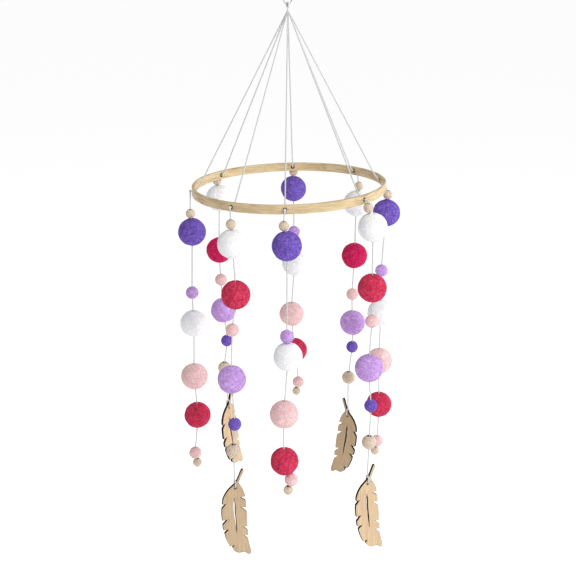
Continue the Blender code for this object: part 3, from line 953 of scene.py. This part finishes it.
class MakeBalls(Operator):
    """Felts the large and small balls, each a little different"""

    bl_idname = "crib_mobile.make_balls"
    bl_label = "Felt balls"

    def execute(self, context):
        settings = context.scene.crib_mobile.felt
        finishes = {
            name: felt_finish(f"{name} felt", getattr(settings, name), contrast)
            for name, contrast in FELT_CONTRAST.items()
        }
        lumps = self.clouds("lumps", 11 * MM, 1)
        mat = self.clouds("matting", 2 * MM, 3)
        for strand in STRANDS:
            places, _ = threaded_places(strand)
            for (kind, colour), place in zip(strand_kinds(strand), places):
                if colour is None:
                    continue
                node = f"{strand}_{colour}_{kind}_ball"
                ball = self.felt_ball(context, kind, place, lumps, mat)
                shade = "crimson" if colour == "red" and strand in CRIMSON_STRANDS else colour
                dress(
                    ball, f"{strand}_{colour}_{kind}_felt", f"{strand}_strand", f"{colour}_felt",
                    finishes[shade], stands_for=[node],
                )
        return {"FINISHED"}

    def clouds(self, name, size, depth):
        texture = bpy.data.textures.new(name, "CLOUDS")
        texture.noise_scale = size
        texture.noise_depth = depth
        return texture

    def felt_ball(self, context, kind, place, lumps, mat):
        settings = context.scene.crib_mobile.felt
        size = SIZES[kind]
        nothing_selected()
        bpy.ops.mesh.primitive_ico_sphere_add(
            subdivisions=6 if kind == "large" else 5, radius=size / 2, location=place
        )
        ball = context.object
        self.lift(ball, "lumps", lumps, settings.lump * size / LARGE_BALL_D)
        self.lift(ball, "matting", mat, settings.mat)
        self.draw_in(ball, settings.dimple * sqrt(size / LARGE_BALL_D))
        apply_modifiers(ball)
        settle(ball)
        ball.data.shade_smooth()
        return ball

    def lift(self, ball, name, texture, strength):
        """Raises and sinks the surface by a cloud pattern that is fixed in space."""
        modifier = ball.modifiers.new(name, "DISPLACE")
        modifier.texture = texture
        modifier.texture_coords = "GLOBAL"
        modifier.strength = strength
        modifier.mid_level = 0.5

    def draw_in(self, ball, depth):
        """Sinks the felt round the cord, at the top and at the bottom."""
        group = ball.vertex_groups.new(name="dimple")
        spread = 1.8 * depth
        for vertex in ball.data.vertices:
            near = max(0, 1 - vertex.co.xy.length / spread)
            if near:
                group.add([vertex.index], near**1.5, "REPLACE")
        modifier = ball.modifiers.new("dimple", "DISPLACE")
        modifier.vertex_group = group.name
        modifier.mid_level = 0
        modifier.strength = -depth


class MakeBeads(Operator):
    """Turns the wooden beads, drilled through, and threads them on the strands"""

    bl_idname = "crib_mobile.make_beads"
    bl_label = "Wooden beads"

    def execute(self, context):
        settings = context.scene.crib_mobile.wood
        wood = bead_finish(settings.bead_light, settings.bead_dark)
        # The bore's second finish is painted shade.
        inside = bore_shade_finish(settings.bead_dark)
        patterns = {
            "bead": self.turned_bead(BEAD_D, settings.bead_bore),
            "large_bead": self.turned_bead(LARGE_BEAD_D, settings.large_bead_bore),
        }
        for strand in STRANDS:
            places, _ = threaded_places(strand)
            for order, ((kind, colour), place) in enumerate(zip(strand_kinds(strand), places)):
                if colour is not None:
                    continue
                bead = copy_of(patterns[kind])
                bead.rotation_euler.z = order + radians(STRANDS[strand][0])
                bead.location = place
                settle(bead)
                name = f"{strand}_wooden_{kind}_{order}"
                dress(bead, name, f"{strand}_strand", "bead_wood", wood, inside)
        for pattern in patterns.values():
            bpy.data.objects.remove(pattern)
        return {"FINISHED"}

    def turned_bead(self, diameter, bore):
        """Half a circle cut off at the bore, closed by the bore's wall and spun about the bore."""
        nothing_selected()
        bpy.ops.mesh.primitive_circle_add(vertices=48, radius=diameter / 2, rotation=(pi / 2, 0, 0))
        bead = bpy.context.object
        settle(bead)
        bpy.ops.object.mode_set(mode="EDIT")
        bpy.ops.mesh.select_mode(type="VERT")
        bpy.ops.mesh.select_all(action="SELECT")
        bpy.ops.mesh.bisect(plane_co=(bore / 2, 0, 0), plane_no=(1, 0, 0), clear_inner=True)
        bpy.ops.mesh.edge_face_add()
        bpy.ops.mesh.bevel(offset=0.5 * MM, segments=3, affect="VERTICES")
        bpy.ops.mesh.select_all(action="SELECT")
        bpy.ops.mesh.spin(steps=48, angle=2 * pi, center=(0, 0, 0), axis=(0, 0, 1))
        bpy.ops.object.mode_set(mode="OBJECT")
        close_mesh(bead)
        bead.data.shade_smooth()
        # The faces of the bore take the second finish, which paints the shade inside the hole.
        for face in bead.data.polygons:
            if face.center.xy.length < bore / 2 + 0.25 * MM:
                face.material_index = 1
        return bead


class MakeStrands(Operator):
    """Hangs a cord from each hole, with its knots and its feather's loop"""

    bl_idname = "crib_mobile.make_strands"
    bl_label = "Strand cords"

    def execute(self, context):
        settings = context.scene.crib_mobile.cord
        white = bpy.data.materials["cotton cord"]
        for order, strand in enumerate(STRANDS):
            body = f"{strand}_strand"
            has_feather = STRANDS[strand][3] is not None
            points = evenly(rounded(strand_route(strand)), settings.step)
            cord = twisted_cord("cord", points, CORD_D, settings.plies, settings.lay)
            dress(
                cord, f"{strand}_strand_cord", body, "cotton_cord", white, stands_for=[f"{strand}_cord"],
            )
            knot = tied_knot("knot", points[0], TIED_KNOT_D, CORD_D, order)
            dress(knot, f"{strand}_hole_knot", body, "cotton_cord", white)
            end_knot = tied_knot("knot", points[-1], SMALL_KNOT_D, SMALL_KNOT_CORD_D, order + 1)
            dress(end_knot, f"{strand}_end_knot", body, "cotton_cord", white)
            if has_feather:
                self.make_loop(strand, body, settings, white)
            round(length_of(points), 3)
        return {"FINISHED"}

    def make_loop(self, strand, body, settings, white):
        """A closed loop through the feather's hole and over its top edge."""
        hole = JOINT_PLACES[f"{strand}_feather_sway"]
        normal = direction(radians(STRANDS[strand][3][2]))
        inside = sqrt(FEATHER_LOOP_R**2 - (FEATHER_WALL / 2) ** 2)
        low = hole.z + inside + (FEATHER_HOLE_D - CORD_D) / 2 - LOOP_PLAY
        ends = ((hole.z + FEATHER_LOOP_RISE, 0), (low, pi))
        route = []
        for centre, start in ends:
            for step in range(13):
                angle = start + pi * step / 12
                aside = normal * FEATHER_LOOP_R * cos(angle)
                route.append(Vector((hole.x, hole.y, centre + FEATHER_LOOP_R * sin(angle))) + aside)
        points = evenly([*route, route[0]], 0.4 * MM)[:-1]
        loop = twisted_cord("loop", points, CORD_D, settings.plies, settings.lay, closed=True)
        dress(loop, f"{strand}_feather_loop", body, "cotton_cord", white)


class MakeFeathers(Operator):
    """Cuts the wooden feathers, with charred edges"""

    bl_idname = "crib_mobile.make_feathers"
    bl_label = "Feathers"

    def execute(self, context):
        settings = context.scene.crib_mobile.wood
        light, dark = settings.ply_light, settings.ply_dark
        # The second finish is a lit copy of the first, 1.22 times lighter: painted light.
        faces = [
            feather_finish(name, shade_of(light, tone), shade_of(dark, tone), settings.burnt)
            for name, tone in (("feather wood", 1), ("pale feather wood", 1.22))
        ]
        wall = bpy.data.materials["charred edge"]
        pattern = self.cut_sheet(context)
        for strand, (_, _, _, low_end) in STRANDS.items():
            if low_end is None:
                continue
            _, _, turn, lean = low_end
            feather = copy_of(pattern)
            feather.rotation_euler = (0, radians(lean), radians(turn))
            feather.location = JOINT_PLACES[f"{strand}_feather_sway"]
            settle(feather)
            dress(
                feather, f"{strand}_wooden_feather", f"{strand}_feather", "plywood",
                faces[strand in LIT_FEATHERS], wall,
                stands_for=[f"{strand}_feather"],
            )
        bpy.data.objects.remove(pattern)
        return {"FINISHED"}

    def cut_sheet(self, context):
        """The feather's plate in the XZ plane, with a scorched margin and charred walls."""
        curve = bpy.data.curves.new("feather", "CURVE")
        curve.dimensions = "2D"
        curve.fill_mode = "BOTH"
        curve.extrude = FEATHER_WALL / 2
        curve.resolution_u = 10
        for outline in (FEATHER_OUTLINE, FEATHER_SLIT):
            spline = curve.splines.new("BEZIER")
            spline.bezier_points.add(len(outline) - 1)
            spline.use_cyclic_u = True
            for point, (x, z, smooth) in zip(spline.bezier_points, outline):
                point.co = (x * FEATHER_WIDTH, z * FEATHER_LENGTH, 0)
                point.handle_left_type = point.handle_right_type = "AUTO" if smooth else "VECTOR"
        sides = 32
        hole = curve.splines.new("POLY")
        hole.points.add(sides - 1)
        hole.use_cyclic_u = True
        for side, point in enumerate(hole.points):
            angle = 2 * pi * side / sides
            point.co = (FEATHER_HOLE_D / 2 * cos(angle), FEATHER_HOLE_D / 2 * sin(angle), 0, 1)
        sheet = bpy.data.objects.new("feather", curve)
        context.scene.collection.objects.link(sheet)
        select_only(sheet)
        bpy.ops.object.convert(target="MESH")
        sheet = context.object
        sheet.rotation_euler = (pi / 2, 0, 0)
        settle(sheet)
        close_mesh(sheet)
        self.mark_margin(sheet, context.scene.crib_mobile.wood.scorch)
        return sheet

    def mark_margin(self, sheet, scorch):
        """Insets both faces by the scorched margin, and marks how burnt each point is."""
        bpy.ops.object.mode_set(mode="EDIT")
        bpy.ops.mesh.select_mode(type="FACE")
        bpy.ops.mesh.select_all(action="DESELECT")
        bpy.ops.object.mode_set(mode="OBJECT")
        for face in sheet.data.polygons:
            face.select = abs(face.normal.y) > 0.9
        bpy.ops.object.mode_set(mode="EDIT")
        bpy.ops.mesh.inset(thickness=scorch, use_boundary=True, use_even_offset=False)
        bpy.ops.object.mode_set(mode="OBJECT")
        mesh = sheet.data
        burnt = set()
        for face in mesh.polygons:
            is_wall = abs(face.normal.y) <= 0.9
            face.material_index = 1 if is_wall else 0
            face.use_smooth = False
            if is_wall:
                burnt.update(face.vertices)
        marks = mesh.attributes.new("scorch", "FLOAT", "POINT")
        for vertex in mesh.vertices:
            marks.data[vertex.index].value = 1.0 if vertex.index in burnt else 0.0


class SetStage(Operator):
    """Lays a pale floor, and sets the lights and the camera"""

    bl_idname = "crib_mobile.set_stage"
    bl_label = "Stage"

    def execute(self, context):
        settings = context.scene.crib_mobile.stage
        nothing_selected()
        bpy.ops.mesh.primitive_plane_add(size=60, location=(0, 0, -settings.drop))
        floor = context.object
        floor.name = "floor"
        floor.data.materials.append(floor_finish(settings.floor, settings.glow))
        floor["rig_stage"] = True
        self.add_light(context, "key light", (1.15, -1.15, 0.75), 1.1, settings.key)
        self.add_light(context, "side light", (1.6, 0.5, -0.1), 1.0, settings.key * 0.35)
        self.light_world(context, settings.ambient)
        self.add_camera(context)
        context.scene.view_settings.view_transform = "Standard"
        return {"FINISHED"}

    def add_light(self, context, name, place, size, power):
        data = bpy.data.lights.new(name, "AREA")
        data.shape = "DISK"
        data.size = size
        data.energy = power
        light = bpy.data.objects.new(name, data)
        light.location = place
        light.rotation_euler = (MIDDLE - Vector(place)).to_track_quat("-Z", "Y").to_euler()
        context.scene.collection.objects.link(light)

    def light_world(self, context, strength):
        """Light from all round, in front of a white sky."""
        world = bpy.data.worlds.new("white room")
        context.scene.world = world
        world.use_nodes = True
        nodes, links = world.node_tree.nodes, world.node_tree.links
        light = nodes["Background"]
        light.inputs["Color"].default_value = (1, 1, 1, 1)
        light.inputs["Strength"].default_value = strength
        sky = nodes.new("ShaderNodeBackground")
        sky.inputs["Color"].default_value = (1, 1, 1, 1)
        seen = nodes.new("ShaderNodeLightPath")
        either = nodes.new("ShaderNodeMixShader")
        links.new(seen.outputs["Is Camera Ray"], either.inputs[0])
        links.new(light.outputs[0], either.inputs[1])
        links.new(sky.outputs[0], either.inputs[2])
        links.new(either.outputs[0], nodes["World Output"].inputs["Surface"])

    def add_camera(self, context):
        camera = bpy.data.objects.new("camera", bpy.data.cameras.new("camera"))
        context.scene.collection.objects.link(camera)
        camera.data.sensor_width = 36
        camera.data.lens = CAMERA_LENS
        level = cos(CAMERA_PITCH)
        forward = Vector((sin(CAMERA_YAW) * level, cos(CAMERA_YAW) * level, -sin(CAMERA_PITCH)))
        right = Vector((cos(CAMERA_YAW), -sin(CAMERA_YAW), 0))
        up = right.cross(forward)
        rolled_right = right * cos(CAMERA_ROLL) + up * sin(CAMERA_ROLL)
        rolled_up = up * cos(CAMERA_ROLL) - right * sin(CAMERA_ROLL)
        turn = Matrix((rolled_right, rolled_up, -forward)).transposed()
        camera.matrix_world = Matrix.Translation(CAMERA_PLACE) @ turn.to_4x4()
        context.scene.camera = camera


class MobilePanel(Panel):
    """Lists what makes the mobile."""

    bl_idname = "VIEW3D_PT_crib_mobile"
    bl_label = "Crib Mobile"
    bl_space_type = "VIEW_3D"
    bl_region_type = "UI"
    bl_category = "Crib Mobile"

    def draw(self, context):
        for maker in MAKERS:
            self.layout.operator(maker.bl_idname)
        settings = context.scene.crib_mobile
        for group in (settings.cord, settings.felt, settings.wood, settings.ring, settings.stage):
            box = self.layout.box()
            for name in group.bl_rna.properties.keys():
                if name not in ("rna_type", "name"):
                    box.prop(group, name)


GROUPS = (CordSettings, FeltSettings, WoodSettings, RingSettings, StageSettings, MobileSettings)
MAKERS = (
    MakeRing, MakeTopLoop, MakeHoopCords, MakeHoop, MakeBalls, MakeBeads, MakeStrands, MakeFeathers,
    SetStage,
)


def register():
    for made in (*GROUPS, *MAKERS, MobilePanel):
        bpy.utils.register_class(made)
    bpy.types.Scene.crib_mobile = PointerProperty(type=MobileSettings)


def unregister():
    del bpy.types.Scene.crib_mobile
    for made in reversed((*GROUPS, *MAKERS, MobilePanel)):
        bpy.utils.unregister_class(made)


def main():
    register()
    for maker in MAKERS:
        group, name = maker.bl_idname.split(".")
        getattr(getattr(bpy.ops, group), name)()


if __name__ == "__main__":
    main()
